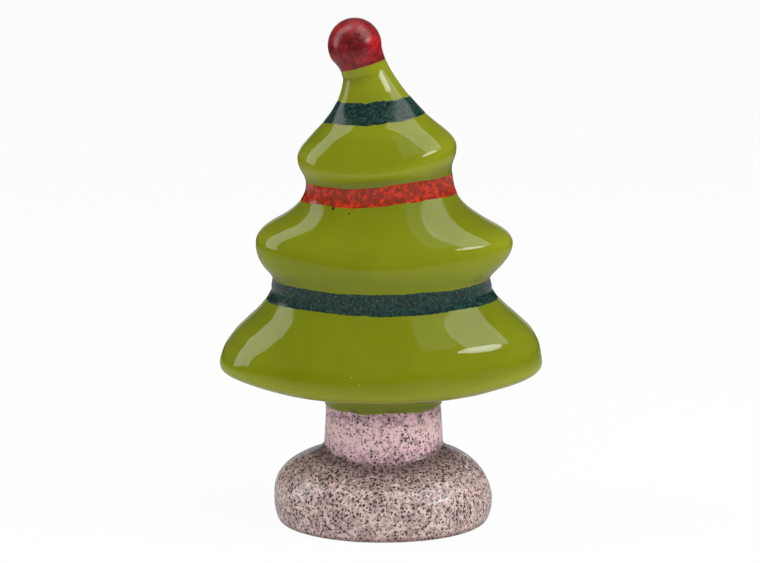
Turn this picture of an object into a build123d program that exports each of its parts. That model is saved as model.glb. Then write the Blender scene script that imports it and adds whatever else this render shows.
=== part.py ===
from build123d import *
import os
from math import atan, cos, radians, sin, sqrt, tan

# Glazed earthenware christmas tree, cast hollow in forms that are luted together under the glaze.
# Lengths are in millimetres and angles in degrees. The tree stands on z = 0, its front faces -Y,
# and every width is measured from side to side, along X.

# The whole casting
BASE_DEPTH_SHARE = 0.85     # front-to-back depth of the base, trunk and collar, as a share of their width
TREE_DEPTH_SHARE = 0.6      # the same for the tiers, which are flattened
TIP_DEPTH_SHARE = 0.82      # the same for the ring under the ball
TIP_ROUND_RISE = 12.0       # the flattened cone rounds off over this rise, up to that ring
WALL = 4.5                  # cast wall
LAP_RISE = 3.0              # height of the lip that locates one form in the next
LAP_SHARE = 0.5             # thickness of that lip, as a share of the wall
FIT_CLEARANCE = 0.2         # slip-filled gap around a lip or a peg, and under a glaze band
CAVITY_STEP_SHARE = 0.33    # least rise between two sections of the cavity, as a share of the wall

# Base: a low bun on a foot ring, with a pour hole underneath
FOOT_WIDTH = 63.0
BASE_WIDTH = 65.8
BASE_BELLY_RISE = 7.2       # from the table to the widest line
DOME_RISE = 14.6            # from the widest line to the root of the neck
DOME_TOP_WIDTH = 40.0
NECK_RISE = 2.7             # the sweep from the dome up to the trunk
BASE_FLOOR = 4.5
FOOT_LAND = 7.0             # width of the ring that touches the table
FOOT_RECESS = 1.0
BASE_SAG_ANGLE = 2.0        # the bun slumped to the right before it was fired
BASE_SHIFT = 0.7            # the bun and the trunk stand this far to the right of the tree
POUR_HOLE_DIAMETER = 18.0

# Trunk
TRUNK_FOOT_WIDTH = 35.6
TRUNK_TOP_WIDTH = 34.6
TRUNK_LENGTH = 10.3

# Lower tier, with the collar that overhangs the trunk
COLLAR_WIDTH = 37.0
COLLAR_RISE = 2.6
LOWER_RIM_WIDTH = 96.3
LOWER_UNDER_RISE = 10.2
LOWER_NECK_WIDTH = 64.6
LOWER_SLOPE_RISE = 26.9
LOWER_SLOPE_SHIFT = 0.9     # the slope was pressed a little to the right

# Middle tier
MIDDLE_RIM_WIDTH = 76.5
MIDDLE_UNDER_RISE = 10.4
MIDDLE_NECK_WIDTH = 43.3
MIDDLE_SLOPE_RISE = 19.4
MIDDLE_RIM_SHIFT = 1.0
MIDDLE_SLOPE_SHIFT = -0.8

# Upper tier, up to the ring under the ball
UPPER_RIM_WIDTH = 47.1
UPPER_UNDER_RISE = 7.9
TIP_WIDTH = 12.6
UPPER_SLOPE_RISE = 25.3
TIP_PLUG = 14.0             # solid clay at the top of the tier, which takes the ball's peg

# Ball
BALL_DIAMETER = 16.0
BALL_SEAT = 6.8             # from the ring under the ball to the ball's centre
BALL_LEAN = 26.0
BALL_NECK_WIDTH = 11.8
PEG_DIAMETER = 5.0
PEG_LENGTH = 7.0

# Glaze bands, thick brushed rings that cover the seams
BAND_THICKNESS = 0.5        # from the clay to the outside of the ring, measured level
LOWER_BAND_RISE = 6.4
MIDDLE_BAND_RISE = 5.6
UPPER_BAND_RISE = 5.8
UPPER_BAND_DROP = 13.0      # from the ring under the ball down to the middle of the band

# Lean: two bends of the axis, both towards -X
LEAN_ANGLE = 4.9
LEAN_LENGTH = 14.0
LEAN_DROP = 13.0            # the lean starts this far below the middle neck
TIP_BEND_ANGLE = 9.0
TIP_BEND_LENGTH = 16.5      # the second bend ends at the ring under the ball

# Handles of each outline curve: shares of its width and rise where it starts and where it ends
FOOT_SHARES = ((0.6, 0.2), (0.0, 0.5))
DOME_SHARES = ((0.0, 0.5), (0.5, 0.15))
NECK_SHARES = ((0.6, 0.25), (0.0, 0.6))
LOWER_UNDER_SHARES = ((0.42, 0.43), (0.0, 0.4))
LOWER_SLOPE_SHARES = ((0.0, 0.54), (0.0, 0.39))
MIDDLE_UNDER_SHARES = ((0.0, 0.11), (0.0, 0.58))
MIDDLE_SLOPE_SHARES = ((0.0, 0.35), (0.0, 0.61))
UPPER_UNDER_SHARES = ((0.0, 0.51), (0.0, 0.55))
UPPER_SLOPE_SHARES = ((0.0, 0.2), (0.26, 0.62))

# Seams: how far up its slope, along the curve, each tier ends
LOWER_SEAM_SHARE = 0.855
MIDDLE_SEAM_SHARE = 0.858

# Counts
CURVE_STATIONS = 10         # sections lofted along one outline curve
OUTLINE_STEPS = 40          # finer points along a curve, for the cavity

# Heights that follow from the rises
belly_z = BASE_BELLY_RISE
dome_z = belly_z + DOME_RISE
base_top = dome_z + NECK_RISE
trunk_top = base_top + TRUNK_LENGTH
collar_top = trunk_top + COLLAR_RISE
lower_rim = collar_top + LOWER_UNDER_RISE
lower_neck = lower_rim + LOWER_SLOPE_RISE
middle_rim = lower_neck + MIDDLE_UNDER_RISE
middle_neck = middle_rim + MIDDLE_SLOPE_RISE
upper_rim = middle_neck + UPPER_UNDER_RISE
tip = upper_rim + UPPER_SLOPE_RISE


# Outline curves, drawn as half width against height

def outline_curve(start_width, start_z, end_width, end_z, shares):
    """Cubic from one width and height to the next, with its end handles given as shares."""
    r0 = start_width / 2
    r1 = end_width / 2
    (leave_r, leave_z), (arrive_r, arrive_z) = shares
    dr = r1 - r0
    dz = end_z - start_z
    first = (r0 + leave_r * dr, start_z + leave_z * dz)
    last = (r1 - arrive_r * dr, end_z - arrive_z * dz)
    return Bezier((r0, start_z), first, last, (r1, end_z))


foot_curve = outline_curve(FOOT_WIDTH, 0, BASE_WIDTH, belly_z, FOOT_SHARES)
dome_curve = outline_curve(BASE_WIDTH, belly_z, DOME_TOP_WIDTH, dome_z, DOME_SHARES)
neck_curve = outline_curve(DOME_TOP_WIDTH, dome_z, TRUNK_FOOT_WIDTH, base_top, NECK_SHARES)
trunk_line = Line((TRUNK_FOOT_WIDTH / 2, base_top), (TRUNK_TOP_WIDTH / 2, trunk_top))
collar_line = Line((COLLAR_WIDTH / 2, trunk_top), (COLLAR_WIDTH / 2, collar_top))
lower_under = outline_curve(COLLAR_WIDTH, collar_top, LOWER_RIM_WIDTH, lower_rim, LOWER_UNDER_SHARES)
lower_slope = outline_curve(LOWER_RIM_WIDTH, lower_rim, LOWER_NECK_WIDTH, lower_neck, LOWER_SLOPE_SHARES)
middle_under = outline_curve(LOWER_NECK_WIDTH, lower_neck, MIDDLE_RIM_WIDTH, middle_rim,
                             MIDDLE_UNDER_SHARES)
middle_slope = outline_curve(MIDDLE_RIM_WIDTH, middle_rim, MIDDLE_NECK_WIDTH, middle_neck,
                             MIDDLE_SLOPE_SHARES)
upper_under = outline_curve(MIDDLE_NECK_WIDTH, middle_neck, UPPER_RIM_WIDTH, upper_rim, UPPER_UNDER_SHARES)
upper_slope = outline_curve(UPPER_RIM_WIDTH, upper_rim, TIP_WIDTH, tip, UPPER_SLOPE_SHARES)


def stations(curve, start_share=0.0, end_share=1.0, count=CURVE_STATIONS):
    """Half width and height at even steps along part of an outline curve."""
    span = end_share - start_share
    places = [curve @ (start_share + span * i / count) for i in range(count + 1)]
    return [(place.X, place.Y) for place in places]


base_outline = stations(foot_curve)[:-1] + stations(dome_curve)[:-1] + stations(neck_curve)
trunk_outline = stations(trunk_line)
lower_outline = stations(collar_line, count=2)[:-1] + stations(lower_under)[:-1]
lower_outline += stations(lower_slope, end_share=LOWER_SEAM_SHARE)
middle_outline = stations(lower_slope, start_share=LOWER_SEAM_SHARE, count=3)[:-1]
middle_outline += stations(middle_under)[:-1]
middle_outline += stations(middle_slope, end_share=MIDDLE_SEAM_SHARE)
upper_outline = stations(middle_slope, start_share=MIDDLE_SEAM_SHARE, count=3)[:-1]
upper_outline += stations(upper_under)[:-1] + stations(upper_slope)

all_curves = (foot_curve, dome_curve, neck_curve, trunk_line, collar_line, lower_under, lower_slope,
              middle_under, middle_slope, upper_under, upper_slope)
fine_outline = [point for curve in all_curves for point in stations(curve, count=OUTLINE_STEPS)]
lower_seam = lower_outline[-1][1]
middle_seam = middle_outline[-1][1]


def half_width(z):
    """Half width of the outline at a height, read off its fine points."""
    for (r0, z0), (r1, z1) in zip(fine_outline, fine_outline[1:]):
        if z0 <= z <= z1 and z1 > z0:
            return r0 + (r1 - r0) * (z - z0) / (z1 - z0)
    raise ValueError("height outside the outline")


def depth_share(z):
    """Front-to-back depth at a height, as a share of the width there."""
    base_part = bump(max(z, collar_top), collar_top, LOWER_UNDER_RISE)
    tip_part = bump(min(z, tip), tip, TIP_ROUND_RISE)
    share = TREE_DEPTH_SHARE + (BASE_DEPTH_SHARE - TREE_DEPTH_SHARE) * base_part
    return share + (TIP_DEPTH_SHARE - TREE_DEPTH_SHARE) * tip_part


def cavity_half(z, deep=False):
    """Half width or half depth of the cavity: what stays one wall away from every point of the outline."""
    near = [(r * depth_share(h) if deep else r, h - z) for r, h in fine_outline if abs(h - z) < WALL]
    return min(r - sqrt(WALL**2 - away**2) for r, away in near)


# The axis of the casting and the sections on it

def bend(z, start, length, angle):
    """Sideways run and slope at a height, past a bend that turns by an angle over a length."""
    turned = min(max(z - start, 0), length)
    beyond = max(z - start - length, 0)
    slope = tan(radians(angle))
    return slope * (turned**2 / length / 2 + beyond), slope * turned / length


def bump(z, middle, reach):
    """A smooth swell between 0 and 1 about a height."""
    share = (z - middle) / reach
    return cos(radians(90) * share) ** 2 if abs(share) < 1 else 0


def axis_at(z):
    """Sideways place of the axis at a height, and the slope of the section there."""
    lean_run, lean_slope = bend(z, middle_neck - LEAN_DROP, LEAN_LENGTH, LEAN_ANGLE)
    tip_run, tip_slope = bend(z, tip - TIP_BEND_LENGTH, TIP_BEND_LENGTH, TIP_BEND_ANGLE)
    shift = LOWER_SLOPE_SHIFT * bump(z, (lower_rim + lower_neck) / 2, LOWER_SLOPE_RISE / 2)
    shift += MIDDLE_RIM_SHIFT * bump(z, middle_rim, MIDDLE_UNDER_RISE)
    shift += MIDDLE_SLOPE_SHIFT * bump(z, (middle_rim + middle_neck) / 2, MIDDLE_SLOPE_RISE / 2)
    shift += BASE_SHIFT * bump(max(z, trunk_top), trunk_top, lower_rim - trunk_top)
    sag_slope = tan(radians(BASE_SAG_ANGLE)) * bump(z, dome_z / 2, dome_z / 2)
    return shift - lean_run - tip_run, lean_slope + tip_slope - sag_slope


def section_plane(z):
    """Plane square to the axis at a height."""
    x, slope = axis_at(z)
    tilt = atan(slope)
    return Plane(origin=(x, 0, z), x_dir=(cos(tilt), 0, sin(tilt)), z_dir=(-sin(tilt), 0, cos(tilt)))


def section(z, half_x, half_y):
    return section_plane(z) * Ellipse(half_x, half_y)


def form(outline, grow=0):
    """Solid of an outline's sections, all grown level by the same amount."""
    return loft([section(z, r + grow, depth_share(z) * r + grow) for r, z in outline])


def offset_heights(outline):
    """Points one wall inside an outline, in rising order, to place the cavity's sections by."""
    inner = []
    for before, here, after in zip(outline, outline[1:], outline[2:]):
        dr = after[0] - before[0]
        dz = after[1] - before[1]
        run = sqrt(dr**2 + dz**2)
        point = (here[0] - WALL * dz / run, here[1] + WALL * dr / run)
        if not inner or point[1] > inner[-1][1] + WALL * CAVITY_STEP_SHARE:
            inner.append(point)
    return inner


def cavity(outline, start_z, end_z):
    """Hollow of a form between two heights, one wall inside it."""
    step = WALL * CAVITY_STEP_SHARE
    inside = [z for r, z in offset_heights(outline) if start_z + step < z < end_z - step]
    heights = [start_z] + inside + [end_z]
    rings = [section(z, cavity_half(z), cavity_half(z, deep=True)) for z in heights]
    return loft(rings, ruled=True)


# Lap joints: a lip on the lower form, a rebate for it in the upper one

def lap(z, clearance):
    """Solid core up to the middle of the wall, standing on the seam."""
    shrink = WALL * LAP_SHARE + clearance
    r = half_width(z)
    return section(z, r - shrink, depth_share(z) * r - shrink), section_plane(z).z_dir


def lip(z):
    outer, direction = lap(z, FIT_CLEARANCE)
    inner = section(z, cavity_half(z), cavity_half(z, deep=True))
    return extrude(outer - inner, amount=LAP_RISE, dir=direction)


def rebate(z):
    core, direction = lap(z, 0)
    return extrude(core, amount=LAP_RISE + FIT_CLEARANCE, dir=direction)


# The pieces

lower_form = form(lower_outline)
middle_form = form(middle_outline)
upper_form = form(upper_outline)


def make_base():
    solid = form(base_outline) - cavity(base_outline, BASE_FLOOR + FOOT_RECESS, base_top)
    recess = section(0, FOOT_WIDTH / 2 - FOOT_LAND, BASE_DEPTH_SHARE * FOOT_WIDTH / 2 - FOOT_LAND)
    pour_hole = section_plane(0) * Circle(POUR_HOLE_DIAMETER / 2)
    solid -= extrude(recess, amount=FOOT_RECESS)
    solid -= extrude(pour_hole, amount=FOOT_RECESS + BASE_FLOOR + WALL)
    return solid + lip(base_top)


def make_trunk():
    solid = form(trunk_outline) - cavity(trunk_outline, base_top, trunk_top)
    return solid - rebate(base_top) + lip(trunk_top)


def make_lower_tier():
    solid = lower_form - cavity(lower_outline, trunk_top, lower_seam)
    return solid - rebate(trunk_top) + lip(lower_seam)


def make_middle_tier():
    solid = middle_form - cavity(middle_outline, lower_seam, middle_seam)
    return solid - rebate(lower_seam) + lip(middle_seam)


def peg(clearance):
    """Peg down from the ring under the ball, along the axis there."""
    plane = section_plane(tip)
    shaft = plane * Circle(PEG_DIAMETER / 2 + clearance)
    return extrude(shaft, amount=PEG_LENGTH + clearance, dir=-plane.z_dir)


def make_upper_tier():
    solid = upper_form - cavity(upper_outline, middle_seam, tip - TIP_PLUG)
    return solid - rebate(middle_seam) - peg(FIT_CLEARANCE)


def make_top_ball():
    ring = section_plane(tip)
    lean = radians(BALL_LEAN)
    centre = ring.origin + Vector(-sin(lean), 0, cos(lean)) * BALL_SEAT
    neck_plane = Plane(origin=centre, x_dir=(cos(lean), 0, sin(lean)), z_dir=(-sin(lean), 0, cos(lean)))
    foot = section(tip, TIP_WIDTH / 2, TIP_DEPTH_SHARE * TIP_WIDTH / 2)
    neck = neck_plane * Ellipse(BALL_NECK_WIDTH / 2, TIP_DEPTH_SHARE * BALL_NECK_WIDTH / 2)
    ball = split(Pos(centre) * Sphere(BALL_DIAMETER / 2), bisect_by=ring, keep=Keep.TOP)
    return loft([foot, neck]) + ball + peg(0)


def make_band(middle_z, rise, outlines):
    """Ring of thick glaze on the outside of the forms that it covers."""
    low = section_plane(middle_z - rise / 2)
    high = section_plane(middle_z + rise / 2)
    ring = Part()
    for outline in outlines:
        shell = form(outline, BAND_THICKNESS) - form(outline, FIT_CLEARANCE)
        ring += split(split(shell, bisect_by=low, keep=Keep.TOP), bisect_by=high, keep=Keep.BOTTOM)
    return ring


pieces = {
    "base": make_base(),
    "trunk": make_trunk(),
    "lower_tier": make_lower_tier(),
    "middle_tier": make_middle_tier(),
    "upper_tier": make_upper_tier(),
    "top_ball": make_top_ball(),
    "lower_band": make_band(lower_seam, LOWER_BAND_RISE, (lower_outline, middle_outline)),
    "middle_band": make_band(middle_seam, MIDDLE_BAND_RISE, (middle_outline, upper_outline)),
    "upper_band": make_band(tip - UPPER_BAND_DROP, UPPER_BAND_RISE, (upper_outline,)),
}

os.makedirs("parts", exist_ok=True)
for name, piece in pieces.items():
    piece.label = name
    export_step(piece, f"parts/{name}.step")
    print(name, len(piece.solids()), round(piece.volume))
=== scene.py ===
import math

import bpy
import numpy as np
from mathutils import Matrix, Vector, noise
from mathutils.bvhtree import BVHTree


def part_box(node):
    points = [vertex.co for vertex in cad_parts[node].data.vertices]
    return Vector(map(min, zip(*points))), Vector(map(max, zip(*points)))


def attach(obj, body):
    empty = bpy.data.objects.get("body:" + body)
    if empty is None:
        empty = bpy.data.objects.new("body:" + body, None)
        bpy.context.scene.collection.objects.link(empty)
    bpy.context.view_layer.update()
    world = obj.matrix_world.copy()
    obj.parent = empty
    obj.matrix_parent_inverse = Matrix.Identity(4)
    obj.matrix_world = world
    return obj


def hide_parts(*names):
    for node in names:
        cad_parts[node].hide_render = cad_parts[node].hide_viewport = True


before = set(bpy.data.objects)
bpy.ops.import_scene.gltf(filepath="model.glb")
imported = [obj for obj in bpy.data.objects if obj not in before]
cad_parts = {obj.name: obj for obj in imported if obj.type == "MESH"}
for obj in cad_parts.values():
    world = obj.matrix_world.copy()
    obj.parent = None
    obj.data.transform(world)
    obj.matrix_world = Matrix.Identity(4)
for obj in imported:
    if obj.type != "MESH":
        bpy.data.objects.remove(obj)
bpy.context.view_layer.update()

# Glazed ceramic christmas tree. Lengths are in metres, +Z is up and the front faces -Y.
# The glaze is modelled as skins that follow the cast forms, with the small waves, rounded lips
# and brushed bands that a thick hand-laid glaze has.

# The axis of the casting: two bends towards -X, and the line from the tip to the top of the ball
LEAN_START = 0.0913
LEAN_LENGTH = 0.014
LEAN_ANGLE = math.radians(4.9)
TIP_BEND_START = 0.121
TIP_BEND_LENGTH = 0.0165
TIP_BEND_ANGLE = math.radians(9)
TIP = TIP_BEND_START + TIP_BEND_LENGTH
BALL_LEAN = math.radians(26)
BALL_SEAT = 0.0068
BALL_RADIUS = 0.008
BALL_TOP = TIP + BALL_SEAT + BALL_RADIUS

# Heights where one skin ends and the next starts
FOOT = 0.0004
BASE_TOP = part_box("trunk")[0].z
TRUNK_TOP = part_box("lower_tier")[0].z
LOWER_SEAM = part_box("middle_tier")[0].z
MIDDLE_SEAM = 0.1005
GREEN_OVERLAP = 0.0006
GREEN_TOP = TIP + GREEN_OVERLAP
COLLAR_RISE = 0.0026

# Underside of the base
FOOT_LAND = 0.007
FOOT_RECESS = 0.001
BASE_FLOOR = 0.0055
BASE_SHIFT = 0.0007
POUR_HOLE_RADIUS = 0.009

# Mesh density
COLUMNS = 224
TURNS = np.linspace(0, 2 * math.pi, COLUMNS, endpoint=False)
GAUGE_COLUMNS = 8
ROW_STEP = 0.0006
FINE_STEP = 0.0001
INNER_STEP = 0.0018
STAND_PASSES = 1
TREE_PASSES = 2
NECK_MEND = 0.0009
LEAST_LENGTH = 1e-12

# How far from the axis the forms are looked for, less far up the tree
WIDE_REACH = 0.07
NARROW_REACH = 0.03
NARROW_FROM = 0.105

# The mould is worn: the tiers' slopes run straighter in front and at the back than at the sides
WORN_PASSES = 160
WORN_HEIGHTS = (0.042, 0.05, 0.117, 0.124)
WORN_SIDES = 6

# In front and at the back the rims of the two upper tiers and the crease round the trunk lie lower,
# and the underside of the lower tier lies higher round the collar
DROP_HEIGHTS = (0.008, 0.0245, 0.031, 0.0352, 0.0376, 0.0428,
                0.0745, 0.0849, 0.097, 0.1045, 0.1122, 0.12)
DROPS = (0, 0.0032, 0, 0, -0.0026, 0,
         0, 0.0025, 0, 0, 0.0024, 0)

# The upper tier swells in front and at the back, by shares of its depth
SWELL_HEIGHTS = (0.1025, 0.1105, 0.128)
SWELLS = (0, 0.24, 0)

# The neck under the ball is filled out with glaze
NECK_HEIGHTS = (0.1345, 0.1365, 0.1405, 0.143)
NECK_PASSES = 30

# Waves in the hand-laid glaze
WAVE_LENGTH = 0.019
WAVE_HEIGHT = 0.00026
RIPPLE_LENGTH = 0.008
RIPPLE_HEIGHT = 0.00008
RIPPLE_OFFSET = Vector((7, 3, 5))

# The lip where the green ends on the trunk, the brown stain along it, and the trunk's end inside it
LIP_ROUND = 0.0011
LIP_OVERHANG = 0.0008
LIP_WAVE = 0.0007
LIP_WAVES = 3
LIP_SEED = 0.5
LIP_PULL = 0.0008
LIP_RAISE = 0.0008
LIP_PASSES = 4
COLLAR_ROUND = 0.0065
STAIN_RISE = 0.0007
STAIN_WIDTH = 0.0004
STAIN_WAVES = 4
STAIN_SEED = 4.5
STAIN_MIDDLE = 0.4
STAIN_SPREAD = 2
SLEEVE = 0.0016
SLEEVE_TAPER = 0.0003
TUCK = 0.0008

# Glaze runs thin over the rims and on the cone, and pools in the hollows; the tiers' undersides are painted
# paler as a painted reflection of the floor and painted light, most under the upper tier
DEPTH_ROWS = 5
DEPTH_SAG = 0.0012
UNDERSIDE_LIGHT_STEEPEST = 0.5
UNDERSIDE_LIGHT_HEIGHTS = (0.085, 0.105, 0.115, 0.12)
UNDERSIDE_LIGHT_SHARES = (0.6, 1.6, 1.6, 0)
CONE_HEIGHTS = (0.117, 0.127)
CONE_SHARES = (0, 0.7)

# Brushed bands
BAND_ROWS = 15
BAND_BACK_SHARES = (1, 0.5, 0)
BAND_LIFT = 0.00012
BAND_SINK = 0.00006
BAND_EDGE_POWER = 8
BAND_DEPTH = 0.0006
BAND_EDGE_WAVE = 0.0004
BAND_WAVES = 3
BAND_EDGE_SEED = 9
BAND_FRAY = 0.0002
BAND_FRAY_COUNT = 9
LOWER_BAND_RISE = 0.0067
MIDDLE_BAND_RISE = 0.0063
MIDDLE_BAND_LIFT = 0.0002
UPPER_BAND_RISE = 0.0067
UPPER_BAND_DROP = 0.013

# Camera, measured on the photo's frame of 760 x 563
FRAME_WIDTH = 760
FRAME_HEIGHT = 563
CAMERA_AT = Vector((0, -0.82, 0.245))
CAMERA_AIM = Vector((0, 0, 0.0729))
FOCAL_PIXELS = 2813.7
PRINCIPAL_COLUMN = 381
SENSOR_WIDTH = 36


def colour(red, green, blue):
    """Linear colour of an 8-bit screen colour."""
    def linear(value):
        share = value / 255
        return share / 12.92 if share <= 0.04045 else ((share + 0.055) / 1.055) ** 2.4
    return (linear(red), linear(green), linear(blue), 1.0)


# Skins read off the cast forms

def clay_tree(names):
    """Search tree of the named cast forms."""
    points = []
    faces = []
    for name in names:
        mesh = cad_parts[name].data
        start = len(points)
        points += [vertex.co for vertex in mesh.vertices]
        faces += [[start + index for index in face.vertices] for face in mesh.polygons]
    return BVHTree.FromPolygons(points, faces)


clay = clay_tree(("base", "trunk", "lower_tier", "middle_tier", "upper_tier", "top_ball"))


def bend(height, start, length, angle):
    """Sideways run and slope past a bend that turns by an angle over a length."""
    turned = min(max(height - start, 0), length)
    beyond = max(height - start - length, 0)
    slope = math.tan(angle)
    return slope * (turned**2 / length / 2 + beyond), slope * turned / length


def section_frame(height):
    """Centre of the section at a height along the axis, and its direction across to +X."""
    below = min(height, TIP)
    lean_run, lean_slope = bend(below, LEAN_START, LEAN_LENGTH, LEAN_ANGLE)
    tip_run, tip_slope = bend(below, TIP_BEND_START, TIP_BEND_LENGTH, TIP_BEND_ANGLE)
    tilt = math.atan(lean_slope + tip_slope)
    centre = Vector((-lean_run - tip_run, 0, below))
    if height > TIP:
        beyond = height - TIP
        centre += Vector((-math.sin(BALL_LEAN), 0, math.cos(BALL_LEAN))) * beyond
        tilt += (BALL_LEAN - tilt) * min(beyond / BALL_SEAT, 1)
    return centre, Vector((math.cos(tilt), 0, math.sin(tilt)))


def ring(height, columns=COLUMNS, inside=False):
    """Points round the forms at a height, on their outside or on the wall of their hollow."""
    centre, across = section_frame(height)
    reach = WIDE_REACH if height < NARROW_FROM else NARROW_REACH
    points = []
    for i in range(columns):
        angle = 2 * math.pi * i / columns
        away = across * math.cos(angle) + Vector((0, math.sin(angle), 0))
        if inside:
            hit = clay.ray_cast(centre, away, reach)[0]
        else:
            hit = clay.ray_cast(centre + away * reach, -away, reach)[0]
        points.append(hit if hit is not None else centre)
    return np.array([tuple(point) for point in points])


def even_heights(low, high, step):
    """Heights between two ends, spaced evenly along the outline."""
    count = max(round((high - low) / FINE_STEP), 1)
    fine = np.linspace(low, high, count + 1)
    gauges = [ring(height, columns=GAUGE_COLUMNS) for height in fine]
    widths = [np.linalg.norm(points - points.mean(axis=0), axis=1).mean() for points in gauges]
    run = np.concatenate(([0], np.cumsum(np.hypot(np.diff(fine), np.diff(widths)))))
    rows = max(round(run[-1] / step), 2)
    return np.interp(np.linspace(0, run[-1], rows + 1), run, fine)


def smooth(grid, passes):
    """Softens a grid of rows along its outline, keeping its two end rows."""
    for _ in range(passes):
        grid[1:-1] = grid[1:-1] / 2 + (grid[:-2] + grid[2:]) / 4
    return grid


def grid_normals(grid):
    """Outward normals of a grid of rows that run upwards, each going round with +X to +Y."""
    along = np.gradient(grid, axis=0)
    around = np.roll(grid, -1, axis=1) - np.roll(grid, 1, axis=1)
    normals = np.cross(around, along)
    return normals / np.maximum(np.linalg.norm(normals, axis=2, keepdims=True), LEAST_LENGTH)


def wave_at(point):
    """Height of the glaze's slow waves at a place."""
    place = Vector(point)
    slow = noise.noise(place / WAVE_LENGTH) * WAVE_HEIGHT
    return slow + noise.noise(place / RIPPLE_LENGTH + RIPPLE_OFFSET) * RIPPLE_HEIGHT


def wander(waves, seed):
    """Wavering value for each column round the tree."""
    places = [Vector((waves * math.cos(turn), waves * math.sin(turn), seed)) for turn in TURNS]
    return np.array([noise.noise(place) for place in places])


def eased(heights, stops, values):
    """Values between stops, level at each stop."""
    place = np.interp(heights, stops, np.arange(len(stops)))
    share = place % 1
    return np.interp(place - share + share**2 * (3 - 2 * share), np.arange(len(stops)), values)


class Skin:
    """Grid of glaze rows between a list of heights, which all become rows."""

    def __init__(self, stops, passes, worn=0):
        heights = []
        for low, high in zip(stops, stops[1:]):
            heights += list(even_heights(low, high, ROW_STEP))[:-1]
        self.heights = np.array(heights + [stops[-1]])
        grid = smooth(np.array([ring(height) for height in self.heights]), passes)
        self.mend_tip(grid)
        if worn:
            grid += (smooth(grid.copy(), worn) - grid) * self.worn_share()
            neck = eased(self.heights, NECK_HEIGHTS, (0, 1, 1, 0))
            grid += (smooth(grid.copy(), NECK_PASSES) - grid) * neck[:, None, None]
        grid[:, :, 1] *= 1 + eased(self.heights, SWELL_HEIGHTS, SWELLS)[:, None]
        grid[:, :, 2] -= eased(self.heights, DROP_HEIGHTS, DROPS)[:, None] * np.sin(TURNS) ** 2
        lifts = np.array([[wave_at(point) for point in row] for row in grid])
        self.grid = grid + grid_normals(grid) * lifts[:, :, None]
        self.normals = grid_normals(self.grid)

    def mend_tip(self, grid):
        """Runs the rows straight past the tip, where the axis turns sharply to the ball."""
        near_tip = np.abs(self.heights - TIP) < NECK_MEND
        if near_tip.any():
            first, last = np.flatnonzero(near_tip)[[0, -1]] + (-1, 1)
            run = self.heights[last] - self.heights[first]
            share = (self.heights[near_tip] - self.heights[first]) / run
            grid[near_tip] = grid[first] + (grid[last] - grid[first]) * share[:, None, None]

    def worn_share(self):
        """How far the cast is worn smooth: wholly on the tiers' fronts and backs, not at the sides."""
        rows = np.interp(self.heights, WORN_HEIGHTS, (0, 1, 1, 0))
        return (rows[:, None] * (1 - np.abs(np.cos(TURNS)) ** WORN_SIDES))[:, :, None]

    def between(self, low, high):
        """Rows and normals from one height to another."""
        kept = (self.heights >= low - FINE_STEP / 2) & (self.heights <= high + FINE_STEP / 2)
        return self.grid[kept], self.normals[kept]

    def at(self, height, column):
        """Point and normal at any height in a column."""
        upper = int(np.clip(np.searchsorted(self.heights, height), 1, len(self.heights) - 1))
        low = self.heights[upper - 1]
        share = (height - low) / (self.heights[upper] - low)
        point = self.grid[upper - 1, column] * (1 - share) + self.grid[upper, column] * share
        normal = self.normals[upper - 1, column] * (1 - share) + self.normals[upper, column] * share
        return point, normal / np.linalg.norm(normal)


stand_skin = Skin((FOOT, BASE_TOP, TRUNK_TOP - FINE_STEP), passes=STAND_PASSES)
tree_skin = Skin((TRUNK_TOP + FINE_STEP, LOWER_SEAM, MIDDLE_SEAM, GREEN_TOP, BALL_TOP - FINE_STEP),
                 passes=TREE_PASSES, worn=WORN_PASSES)


def inner_rows(low, high):
    """Rows down the wall of the hollow, from one height to a lower one."""
    count = max(round((high - low) / INNER_STEP), 1)
    return [ring(height, inside=True) for height in np.linspace(high, low, count + 1)]


def strip_faces(rows, loop):
    """Faces between a number of rows; a loop joins the last row to the first."""
    faces = []
    for i in range(rows if loop else rows - 1):
        here = i * COLUMNS
        above = (i + 1) % rows * COLUMNS
        for j in range(COLUMNS):
            k = (j + 1) % COLUMNS
            faces.append((here + j, here + k, above + k, above + j))
    return faces


def make_piece(name, rows, normals, loop=True, top=None, bottom=None):
    """Closed mesh from rows; the first ones are the outside and take the given normals.
    A loop joins the last row to the first. Otherwise a point closes each end."""
    points = [tuple(point) for row in rows for point in row]
    faces = strip_faces(len(rows), loop)
    for cap, row in ((bottom, 0), (top, len(rows) - 1)):
        if cap is not None:
            points.append(tuple(cap))
            start = row * COLUMNS
            for j in range(COLUMNS):
                k = (j + 1) % COLUMNS
                pair = (start + k, start + j) if cap is bottom else (start + j, start + k)
                faces.append(pair + (len(points) - 1,))
    mesh = bpy.data.meshes.new(name)
    mesh.from_pydata(points, [], faces)
    mesh.polygons.foreach_set("use_smooth", [True] * len(faces))
    outside = len(normals) * COLUMNS
    flat = np.asarray(normals).reshape(-1, 3)
    split = np.zeros((len(mesh.loops), 3))
    for face in mesh.polygons:
        if max(face.vertices) < outside:
            for corner, vertex in zip(face.loop_indices, face.vertices):
                split[corner] = flat[vertex]
    mesh.normals_split_custom_set([tuple(normal) for normal in split])
    piece = bpy.data.objects.new(name, mesh)
    bpy.context.scene.collection.objects.link(piece)
    return piece


def dress(piece, material, slot, *nodes):
    """Gives a piece its finish and its body, and hides the cast forms that it stands for."""
    piece.data.materials.append(material)
    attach(piece, "root")
    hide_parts(*nodes)


def skin_tree(skin):
    """Search tree of a glaze skin."""
    points = [Vector(point) for row in skin.grid for point in row]
    return BVHTree.FromPolygons(points, strip_faces(len(skin.grid), loop=False))


glaze = skin_tree(tree_skin)


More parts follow.
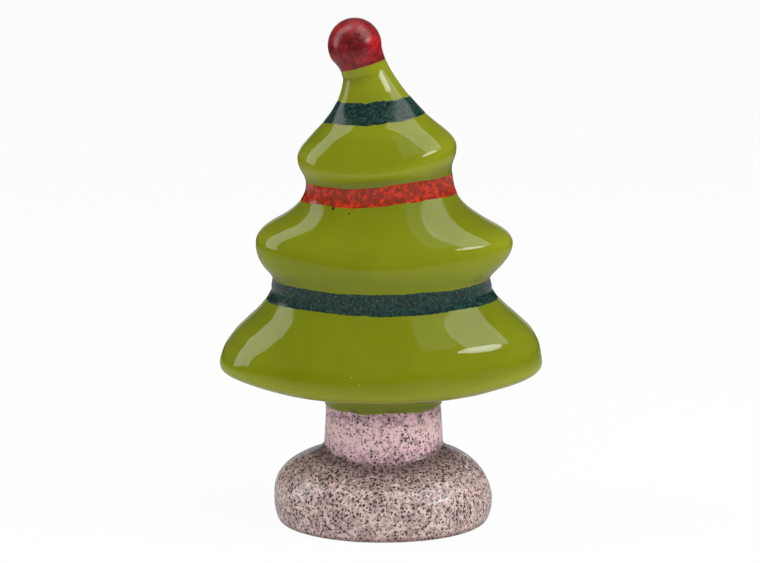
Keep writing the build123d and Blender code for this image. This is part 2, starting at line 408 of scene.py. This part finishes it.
def pixel_point(column, row):
    """Place on the glaze of the tree that a pixel of the photo shows."""
    ahead = (CAMERA_AIM - CAMERA_AT).normalized()
    across = ahead.cross(Vector((0, 0, 1))).normalized()
    upward = across.cross(ahead)
    ray = ahead + across * ((column - PRINCIPAL_COLUMN) / FOCAL_PIXELS)
    ray += upward * ((FRAME_HEIGHT / 2 - row) / FOCAL_PIXELS)
    return glaze.ray_cast(CAMERA_AT, ray.normalized())[0]


# Materials

GLAZE_IOR = 1.5
SPECK_BLUR = 0.04

# Relief of the bumps in the glazes
RELIEF = 0.0002
RELIEF_OFFSET = 0.7

GREEN_ROUGHNESS = 0.05
GREEN_POOL_DULLING = 0.45
GREEN_CLOUD_SIZE = 0.012
GREEN_GRAIN_SIZE = 0.0012
GREEN_RELIEF_SIZE = 0.004
GREEN_DEEP = colour(112, 121, 10)
GREEN_BODY = colour(119, 128, 14)
GREEN_THIN_AND_PAINTED_LIGHT = colour(150, 156, 36)
GREEN_POOLED = colour(104, 100, 18)
GREEN_STAIN = colour(86, 66, 20)
STRAY_BROWN = colour(52, 40, 18)
PINHOLE_PALE = colour(172, 168, 72)

STAND_ROUGHNESS = 0.09
CLAY_DULLING = 0.6
BLOTCH_SIZE = 0.007
WARM_SIZE = 0.004
MOTTLE_SIZE = 0.0016
FINE_SPECK_SIZE = 0.00074
LARGE_SPECK_SIZE = 0.00102
CLAY_GRAIN_SIZE = 0.0008
STAND_RELIEF_SIZE = 0.003
PEACH = colour(215, 190, 184)
MAUVE = colour(238, 201, 204)
WARM_PINK = colour(224, 192, 185)
END_MAUVE = colour(224, 178, 196)
POOL_GREY = colour(128, 102, 108)
FOOT_SHADE_PLUM = colour(112, 84, 92)
MOTTLE_GREY = colour(126, 106, 108)
FINE_BROWN = colour(96, 72, 70)
LARGE_BROWN = colour(58, 40, 40)
CLAY_DARK = colour(205, 190, 170)
CLAY_PALE = colour(224, 212, 196)

# Where the stand's tones fade in and out, from the crease above the base
MAUVE_IN = (-0.002, -0.0005)
POOL_IN = (-0.0042, -0.0026)
POOL_OUT = (0, -0.0015)
SHELF_IN = (-0.01, -0.004)
SHELF_OUT = (0.003, -0.001)
LOW_END_OUT = (0.004, 0)

# The same from the trunk's top, and from the floor
EDGE_IN = (-0.003, 0)
HIGH_END_IN = (-0.004, -0.0005)
FOOT_SHADE_OUT = (0.0018, 0.0006)
CLAY_OUT = (0.0003, 0.0001)

RED_ROUGHNESS = 0.2
RED_PATCH_SIZE = 0.0015
RED_SPECK_SIZE = 0.0008
RED_MUD_SIZE = 0.0011
RED_RELIEF_SIZE = 0.0012
RED_DARK = colour(142, 40, 16)
RED_BRIGHT = colour(206, 52, 20)
RED_SPECK = colour(98, 38, 26)
RED_MUD = colour(92, 74, 58)

LOWER_TEAL_ROUGHNESS = 0.22
UPPER_TEAL_ROUGHNESS = 0.17
TEAL_CLOUD_SIZE = 0.0009
TEAL_SPECK_SIZE = 0.0008
TEAL_RELIEF_SIZE = 0.0012
TEAL_DARK = colour(15, 37, 35)
TEAL_BODY = colour(30, 63, 55)
TEAL_GRAIN = colour(56, 102, 90)
TEAL_INK = colour(22, 26, 34)
TEAL_DOT = colour(10, 10, 12)

BALL_ROUGHNESS = 0.23
BALL_PATCH_SIZE = 0.0022
BALL_SPECK_SIZE = 0.0011
BALL_RELIEF_SIZE = 0.0018
BALL_DARK = colour(108, 22, 26)
BALL_BODY = colour(146, 30, 36)
BALL_PALE_SPECK = colour(172, 70, 72)
BALL_DARK_SPECK = colour(78, 16, 20)
BALL_DOT_BROWN = colour(52, 22, 24)

# Single marks: the pixel's column and row, the radius on the glaze, and a tone
STRAY_SPECKS = ((349, 213.7, 0.0003), (333, 208.5, 0.0005), (354, 208, 0.00035), (367, 206.5, 0.0003))
PINHOLES = ((351, 378, 0.00022), (359, 385, 0.00018))
BAND_DOT = (388, 105, 0.0006)
BALL_DOT = (359, 35, 0.0004)
# Painted light and shade on the ball: a darker centre, brighter red on the sides toward the lamps, and a
# pink painted highlight on top
BALL_PAINTED_LIGHT_TONES = ((355, 43.5, 0.0034, colour(88, 12, 16)), (375.5, 43, 0.0026, colour(186, 20, 28)),
              (338.5, 28, 0.0016, colour(180, 26, 34)), (354, 25, 0.0026, colour(156, 62, 66)))


class Finish:
    """One material, with short ways to add and join its nodes."""

    def __init__(self, name, roughness):
        self.material = bpy.data.materials.new(name)
        self.material.use_nodes = True
        self.tree = self.material.node_tree
        self.shader = self.tree.nodes["Principled BSDF"]
        self.shader.inputs["Roughness"].default_value = roughness
        self.shader.inputs["IOR"].default_value = GLAZE_IOR
        self.place = self.tree.nodes.new("ShaderNodeTexCoord").outputs["Object"]

    def feed(self, socket, value):
        if isinstance(value, bpy.types.NodeSocket):
            self.tree.links.new(value, socket)
        else:
            socket.default_value = value

    def add(self, kind, inputs, **settings):
        made = self.tree.nodes.new("ShaderNode" + kind)
        for key, value in settings.items():
            setattr(made, key, value)
        for key, value in inputs.items():
            self.feed(made.inputs[key], value)
        return made

    def shifted(self, offset):
        """Place in the object, moved along its diagonal so that no two patterns are alike."""
        made = self.add("VectorMath", {0: self.place, 1: (offset, offset, offset)}, operation="ADD")
        return made.outputs[0]

    def noise(self, size, detail=2.0, offset=0.0):
        """Cloudy value about 0.5, with features of a size."""
        made = self.add("TexNoise", {"Vector": self.shifted(offset), "Scale": 1 / size, "Detail": detail})
        return made.outputs["Fac"]

    def specks(self, size, least, spread, density=0.0, offset=0.0):
        """Scattered specks of uneven outline: their radius runs from the least one up by the spread,
        as shares of the size of the cell that each of them has, and grows with the density."""
        moved = self.shifted(offset)
        stir = self.add("TexNoise", {"Vector": moved, "Scale": 1 / size, "Detail": 1.0})
        pulled = self.add("VectorMath", {0: stir.outputs["Color"], 1: (size, size, size), 2: moved},
                          operation="MULTIPLY_ADD")
        cell = self.add("TexVoronoi", {"Vector": pulled.outputs[0], "Scale": 1 / size})
        chance = self.add("SeparateColor", {"Color": cell.outputs["Color"]}).outputs[0]
        radius = self.math("ADD", self.times(chance, spread), self.math("ADD", density, least))
        return self.step(self.math("SUBTRACT", cell.outputs["Distance"], radius), SPECK_BLUR, -SPECK_BLUR)

    def step(self, value, low, high):
        """0 below one value, 1 above another, eased between them; it falls where low is the larger."""
        made = self.add("MapRange", {"Value": value, "From Min": low, "From Max": high},
                        interpolation_type="SMOOTHSTEP")
        return made.outputs["Result"]

    def math(self, operation, first, second):
        return self.add("Math", {0: first, 1: second}, operation=operation).outputs[0]

    def times(self, first, second):
        return self.math("MULTIPLY", first, second)

    def mix(self, share, first, second):
        made = self.add("Mix", {0: share, 6: first, 7: second}, data_type="RGBA")
        return made.outputs[2]

    def tint(self, body, share, amount, tone):
        """Body colour with an amount of a tone laid on by a share."""
        return self.mix(self.times(share, amount), body, tone)

    def attribute(self, name):
        return self.add("Attribute", {}, attribute_name=name).outputs["Fac"]

    def near(self, point, radius, core):
        """1 near a point, fading out about a radius from it; the core is the share that doesn't fade."""
        away = self.add("VectorMath", {0: self.place, 1: tuple(point)}, operation="DISTANCE")
        return self.step(away.outputs["Value"], radius * (2 - core), radius * core)

    def spot(self, column, row, radius, core=0.85):
        """1 in a round mark where a pixel of the photo shows the glaze."""
        return self.near(pixel_point(column, row), radius, core)

    def roughen(self, share, amount, least):
        """Roughness that grows by an amount with a share."""
        self.feed(self.shader.inputs["Roughness"], self.math("ADD", self.times(share, amount), least))

    def bump(self, size, strength):
        """Small relief with features of a size."""
        height = self.noise(size, offset=RELIEF_OFFSET)
        made = self.add("Bump", {"Height": height, "Strength": strength, "Distance": RELIEF})
        self.feed(self.shader.inputs["Normal"], made.outputs["Normal"])

    def paint(self, value):
        self.feed(self.shader.inputs["Base Color"], value)
        return self.material


def green_glaze():
    """Yellow-green glaze: paler where it is thin, paler on the tiers' undersides as a painted reflection of
    the floor and painted light, and browner where it pools.
    """
    finish = Finish("green_glaze", GREEN_ROUGHNESS)
    cloud = finish.step(finish.noise(GREEN_CLOUD_SIZE, detail=3), low=0.3, high=0.7)
    grain = finish.step(finish.noise(GREEN_GRAIN_SIZE, offset=0.3), low=0.35, high=0.65)
    pooled = finish.attribute("pooled")
    body = finish.mix(cloud, GREEN_DEEP, GREEN_BODY)
    body = finish.tint(body, grain, amount=0.25, tone=GREEN_DEEP)
    # the paler green is thin glaze on rims and cone, and painted reflection and light on the undersides
    body = finish.tint(body, finish.attribute("thin_and_painted_light"), amount=0.7, tone=GREEN_THIN_AND_PAINTED_LIGHT)
    body = finish.tint(body, pooled, amount=0.55, tone=GREEN_POOLED)
    body = finish.tint(body, finish.attribute("stain"), amount=0.75, tone=GREEN_STAIN)
    for mark_place in STRAY_SPECKS:
        body = finish.mix(finish.spot(*mark_place), body, STRAY_BROWN)
    for mark_place in PINHOLES:
        body = finish.mix(finish.spot(*mark_place), body, PINHOLE_PALE)
    finish.roughen(pooled, GREEN_POOL_DULLING, least=GREEN_ROUGHNESS)
    finish.bump(GREEN_RELIEF_SIZE, strength=0.12)
    return finish.paint(body)


def speckled_glaze(name):
    """Pink glaze with dark specks, mauve on the trunk and peach on the base, and bare clay underneath."""
    finish = Finish(name, STAND_ROUGHNESS)
    level = finish.attribute("level")

    def fade(start, ends):
        return finish.step(level, start + ends[0], start + ends[1])

    on_trunk = fade(BASE_TOP, MAUVE_IN)
    pool = finish.times(fade(BASE_TOP, POOL_IN), fade(BASE_TOP, POOL_OUT))
    shelf = finish.times(fade(BASE_TOP, SHELF_IN), fade(BASE_TOP, SHELF_OUT))
    edge = fade(TRUNK_TOP, EDGE_IN)
    low_end = finish.times(fade(BASE_TOP, LOW_END_OUT), on_trunk)
    ends = finish.math("ADD", fade(TRUNK_TOP, HIGH_END_IN), low_end)
    bare = fade(0, CLAY_OUT)
    blotch = finish.math("SUBTRACT", finish.noise(BLOTCH_SIZE, offset=0.2), 0.5)
    warm = finish.step(finish.noise(WARM_SIZE, offset=0.6), low=0.35, high=0.65)

    body = finish.mix(on_trunk, PEACH, MAUVE)
    body = finish.tint(body, warm, amount=0.4, tone=WARM_PINK)
    body = finish.tint(body, ends, amount=0.6, tone=END_MAUVE)
    body = finish.tint(body, pool, amount=0.85, tone=POOL_GREY)
    # painted shade: a plum band darkens the bottom edge of the base toward the floor
    body = finish.tint(body, fade(0, FOOT_SHADE_OUT), amount=0.6, tone=FOOT_SHADE_PLUM)

    density = 0.085
    for share, amount in ((shelf, 0.05), (edge, 0.04), (on_trunk, -0.08), (blotch, 0.16)):
        density = finish.math("ADD", finish.times(share, amount), density)
    mottle = finish.math("ADD", finish.noise(MOTTLE_SIZE, detail=3, offset=0.5), finish.times(density, 2.0))
    mottle = finish.math("ADD", mottle, finish.times(on_trunk, 0.08))
    body = finish.tint(body, finish.step(mottle, low=0.57, high=0.77), amount=0.6, tone=MOTTLE_GREY)
    fine = finish.specks(FINE_SPECK_SIZE, least=0.13, spread=0.2, density=density, offset=0.9)
    body = finish.tint(body, fine, amount=0.75, tone=FINE_BROWN)
    large = finish.specks(LARGE_SPECK_SIZE, least=0.17, spread=0.2, density=density, offset=0.4)
    body = finish.tint(body, large, amount=0.9, tone=LARGE_BROWN)

    body = finish.mix(bare, body, finish.mix(finish.noise(CLAY_GRAIN_SIZE, detail=3), CLAY_DARK, CLAY_PALE))
    finish.roughen(bare, CLAY_DULLING, least=STAND_ROUGHNESS)
    finish.bump(STAND_RELIEF_SIZE, strength=0.15)
    return finish.paint(body)


def red_glaze():
    """Patchy orange-red glaze with brown and muddy specks."""
    finish = Finish("red_glaze", RED_ROUGHNESS)
    patch = finish.step(finish.noise(RED_PATCH_SIZE, detail=3), low=0.42, high=0.64)
    body = finish.mix(patch, RED_DARK, RED_BRIGHT)
    speck = finish.specks(RED_SPECK_SIZE, least=0.16, spread=0.22, density=0.02, offset=0.4)
    body = finish.tint(body, speck, amount=0.7, tone=RED_SPECK)
    mud = finish.specks(RED_MUD_SIZE, least=0.06, spread=0.22, offset=0.8)
    body = finish.tint(body, mud, amount=0.6, tone=RED_MUD)
    finish.bump(RED_RELIEF_SIZE, strength=0.06)
    return finish.paint(body)


def teal_glaze(name, roughness):
    """Dark teal glaze with pale grains and inky specks."""
    finish = Finish(name, roughness)
    cloud = finish.step(finish.noise(TEAL_CLOUD_SIZE, detail=3), low=0.38, high=0.62)
    body = finish.mix(cloud, TEAL_DARK, TEAL_BODY)
    grain = finish.specks(TEAL_SPECK_SIZE, least=0.14, spread=0.24, offset=0.4)
    body = finish.tint(body, grain, amount=0.6, tone=TEAL_GRAIN)
    ink = finish.specks(TEAL_SPECK_SIZE, least=0.16, spread=0.24, density=0.02, offset=0.8)
    body = finish.tint(body, ink, amount=0.7, tone=TEAL_INK)
    body = finish.mix(finish.spot(*BAND_DOT), body, TEAL_DOT)
    finish.bump(TEAL_RELIEF_SIZE, strength=0.06)
    return finish.paint(body)


def ball_glaze():
    """Dark red glaze with pale and dark specks, and soft tones of painted shade and light: a darker centre,
    brighter red at the right and upper left, and a pink painted highlight on top.
    """
    finish = Finish("ball_glaze", BALL_ROUGHNESS)
    patch = finish.step(finish.noise(BALL_PATCH_SIZE, detail=3, offset=0.1), low=0.36, high=0.64)
    body = finish.mix(patch, BALL_DARK, BALL_BODY)
    # lays on the painted shade, light and highlight tones of the ball
    for column, row, radius, tone in BALL_PAINTED_LIGHT_TONES:
        body = finish.tint(body, finish.spot(column, row, radius, core=0.3), amount=0.8, tone=tone)
    pale = finish.specks(BALL_SPECK_SIZE, least=0.1, spread=0.2, offset=0.4)
    body = finish.tint(body, pale, amount=0.3, tone=BALL_PALE_SPECK)
    dark = finish.specks(BALL_SPECK_SIZE, least=0.12, spread=0.22, offset=0.8)
    body = finish.tint(body, dark, amount=0.6, tone=BALL_DARK_SPECK)
    body = finish.mix(finish.spot(*BALL_DOT), body, BALL_DOT_BROWN)
    finish.bump(BALL_RELIEF_SIZE, strength=0.25)
    return finish.paint(body)


green = green_glaze()
red = red_glaze()
lower_teal = teal_glaze("lower_teal_glaze", LOWER_TEAL_ROUGHNESS)
upper_teal = teal_glaze("upper_teal_glaze", UPPER_TEAL_ROUGHNESS)


# Pieces

def outward(row):
    """Level directions from the middle of a row to its points."""
    away = row - row.mean(axis=0)
    away[:, 2] = 0
    return away / np.linalg.norm(away, axis=1, keepdims=True)


def circle_row(radius, height):
    """Level circle of points about the middle of the base."""
    return np.stack((BASE_SHIFT + radius * np.cos(TURNS), radius * np.sin(TURNS),
                     np.full(COLUMNS, height)), axis=1)


def mark(piece, name, values):
    """Gives each point of the outer rows a value, and the other points 0."""
    filled = np.zeros(len(piece.data.vertices))
    filled[:values.size] = values.ravel()
    piece.data.attributes.new(name, "FLOAT", "POINT").data.foreach_set("value", filled)


def make_base():
    rows, normals = stand_skin.between(FOOT, BASE_TOP)
    land = rows[0] - outward(rows[0]) * FOOT
    land[:, 2] = 0
    step_edge = land - outward(land) * (FOOT_LAND - FOOT)
    recess = step_edge + np.array((0, 0, FOOT_RECESS))
    hollow = inner_rows(BASE_FLOOR + FOOT_RECESS, BASE_TOP - FINE_STEP)
    under = [circle_row(POUR_HOLE_RADIUS, BASE_FLOOR), circle_row(POUR_HOLE_RADIUS, FOOT_RECESS),
             recess, step_edge, land]
    piece = make_piece("base_skin", list(rows) + hollow + under, normals)
    mark(piece, "level", np.repeat(stand_skin.heights[:len(rows)], COLUMNS))
    dress(piece, speckled_glaze("base_glaze"), "base_glaze", "base")


def make_trunk():
    rows, normals = stand_skin.between(BASE_TOP, TRUNK_TOP)
    sleeve = rows[-1] - outward(rows[-1]) * SLEEVE_TAPER + np.array((0, 0, SLEEVE))
    tuck = sleeve - outward(rows[-1]) * TUCK
    hollow = inner_rows(BASE_TOP + FINE_STEP, TRUNK_TOP + TUCK)
    outer_normals = list(normals) + [normals[-1]]
    piece = make_piece("trunk_skin", list(rows) + [sleeve, tuck] + hollow, outer_normals)
    levels = np.append(stand_skin.heights[-len(rows):], TRUNK_TOP + SLEEVE)
    mark(piece, "level", np.repeat(levels, COLUMNS))
    dress(piece, speckled_glaze("trunk_glaze"), "trunk_glaze", "trunk")


def add_glaze_depth(piece, rows, normals):
    """Marks where the glaze ran thin over the rims and on the cone, where it pooled in the hollows, and the
    tiers' undersides, which are painted paler as a painted reflection of the floor and painted light.
    """
    bulge = np.zeros(rows.shape[:2])
    inner = slice(DEPTH_ROWS, -DEPTH_ROWS)
    chords = (rows[:-2 * DEPTH_ROWS] + rows[2 * DEPTH_ROWS:]) / 2
    bulge[inner] = ((chords - rows[inner]) * normals[inner]).sum(axis=2)
    # painted reflection and light: downward-facing undersides are made paler, as if they mirrored the lit
    # floor
    under = np.clip(-normals[:, :, 2], 0, UNDERSIDE_LIGHT_STEEPEST)
    under *= np.interp(rows[:, :, 2], UNDERSIDE_LIGHT_HEIGHTS, UNDERSIDE_LIGHT_SHARES)
    cone = np.interp(rows[:, :, 2], CONE_HEIGHTS, CONE_SHARES)
    mark(piece, "thin_and_painted_light", np.clip(under + cone - bulge / DEPTH_SAG, 0, 1))
    mark(piece, "pooled", np.clip(bulge / DEPTH_SAG, 0, 1))


def make_lower_tier():
    rows = tree_skin.between(TRUNK_TOP, LOWER_SEAM)[0].copy()
    heights = tree_skin.heights[:len(rows)] - TRUNK_TOP
    drips = wander(LIP_WAVES, LIP_SEED)
    for row, rise in zip(rows, heights):
        pull = 1 - min(rise / LIP_ROUND, 1)
        low = max(1 - rise / COLLAR_RISE, 0)
        drawn = LIP_PULL * np.interp(rise, (COLLAR_RISE, COLLAR_ROUND), (1, 0))
        row -= outward(row) * (LIP_OVERHANG * (1 - math.sqrt(1 - pull**2)) + drawn)
        row[:, 2] += (drips * LIP_WAVE + LIP_RAISE) * low
    collar = (heights > LIP_ROUND) & (heights < COLLAR_ROUND)
    rows[collar] = smooth(rows[collar], LIP_PASSES)
    normals = grid_normals(rows)
    tuck = rows[0] - outward(rows[0]) * LIP_OVERHANG
    hollow = inner_rows(TRUNK_TOP + 2 * COLLAR_RISE, LOWER_SEAM - FINE_STEP)
    piece = make_piece("lower_tier_skin", list(rows) + hollow + [tuck], normals)
    add_glaze_depth(piece, rows, normals)
    line = np.exp(-((heights - STAIN_RISE) / STAIN_WIDTH) ** 2)
    blots = np.clip(STAIN_MIDDLE + STAIN_SPREAD * wander(STAIN_WAVES, STAIN_SEED), 0, 1)
    mark(piece, "stain", line[:, None] * blots)
    dress(piece, green, "green_glaze", "lower_tier")


def make_middle_tier():
    rows, normals = tree_skin.between(LOWER_SEAM, MIDDLE_SEAM)
    hollow = inner_rows(LOWER_SEAM + FINE_STEP, MIDDLE_SEAM - FINE_STEP)
    piece = make_piece("middle_tier_skin", list(rows) + hollow, normals)
    add_glaze_depth(piece, rows, normals)
    dress(piece, green, "green_glaze", "middle_tier")


def make_upper_tier():
    rows, normals = tree_skin.between(MIDDLE_SEAM, GREEN_TOP)
    piece = make_piece("upper_tier_skin", rows, normals, loop=False,
                       top=section_frame(GREEN_TOP)[0], bottom=section_frame(MIDDLE_SEAM)[0])
    add_glaze_depth(piece, rows, normals)
    dress(piece, green, "green_glaze", "upper_tier")


def make_ball():
    rows, normals = tree_skin.between(GREEN_TOP, BALL_TOP)
    piece = make_piece("ball_skin", rows, normals, loop=False,
                       top=section_frame(BALL_TOP)[0], bottom=section_frame(GREEN_TOP)[0])
    dress(piece, ball_glaze(), "ball_glaze", "top_ball")


def make_band(name, node, material, slot, middle, rise, low_rises, high_rises, tilt, dip, seed):
    """Brushed ring of glaze with wavering edges that stand a little proud of the green.
    Its lower and upper edges rise by given amounts towards the left and the right side,
    and both of them tilt a little up to the right between the sides. By the dip its brushed face
    is shaded as if it turned down from the slope that it lies on."""
    across = np.linspace(0, 1, BAND_ROWS)
    rows = [np.zeros((COLUMNS, 3)) for _ in range(BAND_ROWS + len(BAND_BACK_SHARES))]
    normals = np.zeros((BAND_ROWS, COLUMNS, 3))
    for j in range(COLUMNS):
        turn = 2 * math.pi * j / COLUMNS
        place = Vector((BAND_WAVES * math.cos(turn), BAND_WAVES * math.sin(turn), seed))
        ends = []
        for sign, side_rises, apart in ((-1, low_rises, 0), (1, high_rises, BAND_EDGE_SEED)):
            along = place + Vector((0, 0, apart))
            end = middle + sign * rise / 2 + side_rises[math.cos(turn) > 0] * math.cos(turn) ** 2
            end += tilt * math.cos(turn) * math.sin(turn) ** 2
            end += noise.noise(along) * BAND_EDGE_WAVE
            end += noise.noise(along * BAND_FRAY_COUNT) * BAND_FRAY
            ends.append(end)
        low, high = ends
        for i, share in enumerate(across):
            point, normal = tree_skin.at(low + (high - low) * share, j)
            crown = 1 - abs(2 * share - 1) ** BAND_EDGE_POWER
            rows[i][j] = point + normal * ((BAND_LIFT + BAND_SINK) * crown - BAND_SINK)
            normals[i, j] = normal - np.array((0, 0, dip))
        for i, share in enumerate(BAND_BACK_SHARES):
            point, normal = tree_skin.at(low + (high - low) * share, j)
            rows[BAND_ROWS + i][j] = point - normal * BAND_DEPTH
    normals /= np.linalg.norm(normals, axis=2, keepdims=True)
    piece = make_piece(name, rows, normals)
    dress(piece, material, slot, node)


make_base()
make_trunk()
make_lower_tier()
make_middle_tier()
make_upper_tier()
make_ball()
make_band("lower_band_glaze", "lower_band", lower_teal, "teal_glaze",
          middle=LOWER_SEAM, rise=LOWER_BAND_RISE, low_rises=(0.001, 0.0013), high_rises=(0.001, 0.001),
          tilt=0, dip=0.35, seed=2.3)
make_band("middle_band_glaze", "middle_band", red, "red_glaze",
          middle=MIDDLE_SEAM + MIDDLE_BAND_LIFT, rise=MIDDLE_BAND_RISE, low_rises=(0.001, 0.001),
          high_rises=(0.0012, 0.0006), tilt=0.001, dip=0.35, seed=5.1)
make_band("upper_band_glaze", "upper_band", upper_teal, "teal_glaze",
          middle=TIP - UPPER_BAND_DROP, rise=UPPER_BAND_RISE, low_rises=(0.0013, 0.0008),
          high_rises=(0.001, -0.0005), tilt=0, dip=0.12, seed=8.7)


# Studio

FLOOR_SIZE = 3.0
FLOOR_ROUGHNESS = 0.9
FLOOR_GRAIN_SIZE = 0.002
FLOOR_DARK = colour(238, 238, 238)
FLOOR_PALE = colour(246, 246, 246)
FLOOR_WHITE_SHARE = 0.94
FLOOR_MIRRORED = 0.45
TABLE_NEAR = 0.12
TABLE_FAR = 0.6
ROOM_LIGHT = 0.35
ROOM_MIRRORED = 0.08
BACKDROP_FROM = 0.92
BACKDROP_MIRRORED = 0.5
WHITE = (1, 1, 1, 1)


def make_floor():
    """Pale paper, white to the camera but for the tree's shadow, with a lit table round the tree
    in reflections."""
    bpy.ops.mesh.primitive_plane_add(size=FLOOR_SIZE)
    floor = bpy.context.object
    floor.name = "floor"
    finish = Finish("floor_paper", FLOOR_ROUGHNESS)
    finish.paint(finish.mix(finish.noise(FLOOR_GRAIN_SIZE), FLOOR_DARK, FLOOR_PALE))
    finish.shader.inputs["Specular IOR Level"].default_value = 0
    path = finish.add("LightPath", {})
    seen = path.outputs["Is Camera Ray"]
    mirrored = path.outputs["Is Glossy Ray"]
    away = finish.add("VectorMath", {0: finish.place}, operation="LENGTH").outputs["Value"]
    table = finish.times(finish.step(away, low=TABLE_FAR, high=TABLE_NEAR), FLOOR_MIRRORED)
    strength = finish.math("ADD", seen, finish.times(mirrored, table))
    light = finish.add("Emission", {"Color": WHITE, "Strength": strength})
    share = finish.math("ADD", finish.times(seen, FLOOR_WHITE_SHARE), mirrored)
    both = finish.add("MixShader", {0: share, 1: finish.shader.outputs[0], 2: light.outputs[0]})
    finish.feed(finish.tree.nodes["Material Output"].inputs["Surface"], both.outputs[0])
    floor.data.materials.append(finish.material)


def make_world():
    """White backdrop for the camera and for reflections, dim grey light from the rest of the room."""
    world = bpy.data.worlds.new("studio")
    bpy.context.scene.world = world
    world.use_nodes = True
    nodes = world.node_tree.nodes
    links = world.node_tree.links

    def value(operation, first, second):
        made = nodes.new("ShaderNodeMath")
        made.operation = operation
        for socket, given in zip(made.inputs, (first, second)):
            if isinstance(given, bpy.types.NodeSocket):
                links.new(given, socket)
            else:
                socket.default_value = given
        return made.outputs[0]

    path = nodes.new("ShaderNodeLightPath")
    mirrored = path.outputs["Is Glossy Ray"]
    toward = nodes.new("ShaderNodeSeparateXYZ")
    links.new(nodes.new("ShaderNodeTexCoord").outputs["Generated"], toward.inputs[0])
    behind = value("GREATER_THAN", toward.outputs["Y"], BACKDROP_FROM)
    behind = value("MULTIPLY", behind, BACKDROP_MIRRORED)
    seen = value("MAXIMUM", path.outputs["Is Camera Ray"], value("MULTIPLY", mirrored, behind))
    room = value("ADD", ROOM_LIGHT, value("MULTIPLY", mirrored, ROOM_MIRRORED - ROOM_LIGHT))
    strength = value("ADD", room, value("MULTIPLY", seen, value("SUBTRACT", 1.0, room)))
    links.new(strength, nodes["Background"].inputs["Strength"])
    nodes["Background"].inputs["Color"].default_value = WHITE


def make_softbox(name, azimuth, elevation, distance, width, height, radiance,
                 mirrored=True, shape="RECTANGLE"):
    """Flat lamp that faces the tree; azimuth 0 is in front and 90 to the right."""
    lamp = bpy.data.lights.new(name, "AREA")
    lamp.shape = shape
    lamp.size = width
    lamp.size_y = height
    lamp.energy = radiance * math.pi * width * height
    holder = bpy.data.objects.new(name, lamp)
    turn = math.radians(azimuth)
    rise = math.radians(elevation)
    away = Vector((math.sin(turn) * math.cos(rise), -math.cos(turn) * math.cos(rise), math.sin(rise)))
    holder.location = CAMERA_AIM + away * distance
    holder.rotation_euler = (-away).to_track_quat("-Z", "Y").to_euler()
    holder.visible_glossy = mirrored
    bpy.context.scene.collection.objects.link(holder)


def make_camera():
    camera = bpy.data.cameras.new("camera")
    camera.sensor_width = SENSOR_WIDTH
    camera.lens = FOCAL_PIXELS * SENSOR_WIDTH / FRAME_WIDTH
    camera.shift_x = (FRAME_WIDTH / 2 - PRINCIPAL_COLUMN) / FRAME_WIDTH
    holder = bpy.data.objects.new("camera", camera)
    holder.location = CAMERA_AT
    holder.rotation_euler = (CAMERA_AIM - CAMERA_AT).to_track_quat("-Z", "Y").to_euler()
    bpy.context.scene.collection.objects.link(holder)
    bpy.context.scene.camera = holder


make_floor()
make_world()
make_softbox("left_softbox", azimuth=-91, elevation=36, distance=0.9, width=0.42, height=1.74, radiance=2.2)
make_softbox("right_softbox", azimuth=68, elevation=52, distance=0.9, width=0.58, height=0.96, radiance=2.1)
make_softbox("right_edge", azimuth=58, elevation=24, distance=0.88, width=0.46, height=0.12, radiance=5.6,
             shape="ELLIPSE")
make_softbox("right_haze", azimuth=33, elevation=43, distance=0.92, width=0.3, height=0.42, radiance=0.5)
make_softbox("front_fill", azimuth=0, elevation=38, distance=1.2, width=1.0, height=0.8, radiance=1.25,
             mirrored=False)
make_softbox("right_fill", azimuth=70, elevation=25, distance=1.2, width=0.6, height=0.6, radiance=2.2,
             mirrored=False)
make_camera()
bpy.context.scene.view_settings.view_transform = "Standard"
